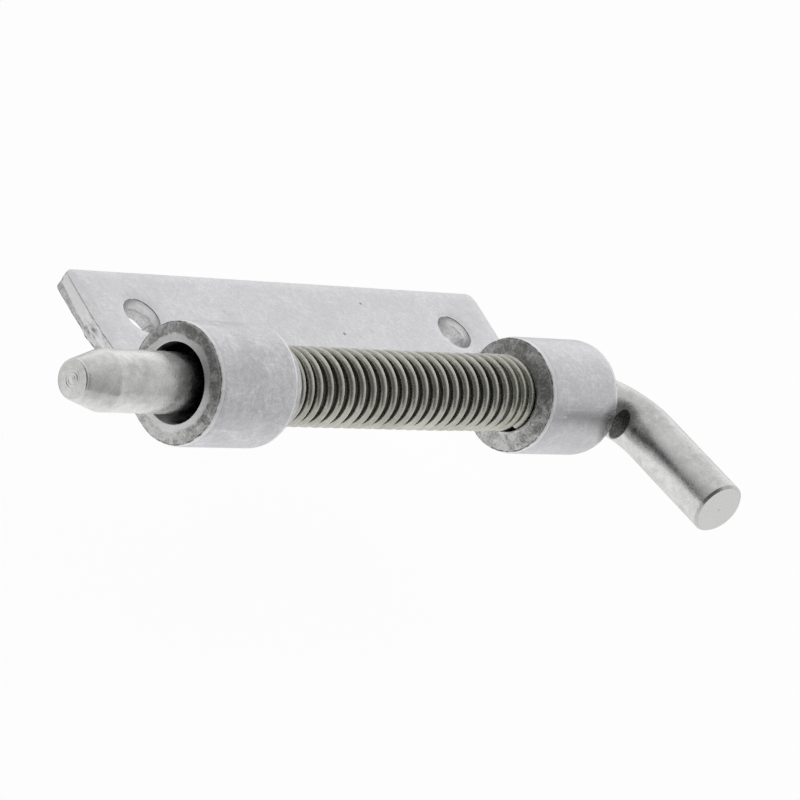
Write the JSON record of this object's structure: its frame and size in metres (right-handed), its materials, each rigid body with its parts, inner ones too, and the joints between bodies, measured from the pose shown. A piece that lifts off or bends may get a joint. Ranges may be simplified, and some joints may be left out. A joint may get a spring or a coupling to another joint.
{
  "type": "latch hinge",
  "caption": "Zinc-plated latch hinge: rolled sheet leaf with two screw holes and a sprung 8 mm bolt with coned nose and bent handle.",
  "frame": {"origin": "midway between the two screw holes, on the leaf's back face", "axes": "+Z out of the leaf's front face, +X along the bolt from its nose to its handle, +Y from the bolt to the leaf's free edge"},
  "size_m": [0.1126, 0.0495, 0.0181],
  "materials": {
    "zinc_sheet": "satin",
    "zinc_rod": "satin",
    "spring_steel": "satin",
    "bush_nylon": "matte"
  },
  "bodies": {
    "leaf_body": {"leaf": "zinc_sheet", "nose_bush": "bush_nylon", "handle_bush": "bush_nylon", "spring": "spring_steel"},
    "slider": {"washer": "zinc_sheet"},
    "bolt_body": {"bolt": "zinc_rod", "retaining_ring": "spring_steel"}
  },
  "joints": [
    {"name": "bolt_slide", "type": "slide", "parent": "leaf_body", "child": "slider", "axis": [1, 0, 0], "range_m": [0, 0.02], "stiffness_N_per_m": 800, "springref_m": -0.01, "deforming": ["spring"]},
    {"name": "handle_turn", "type": "hinge", "parent": "slider", "child": "bolt_body", "pos_m": [0, -0.0162, 0.0084], "axis": [1, 0, 0], "continuous": true}
  ]
}
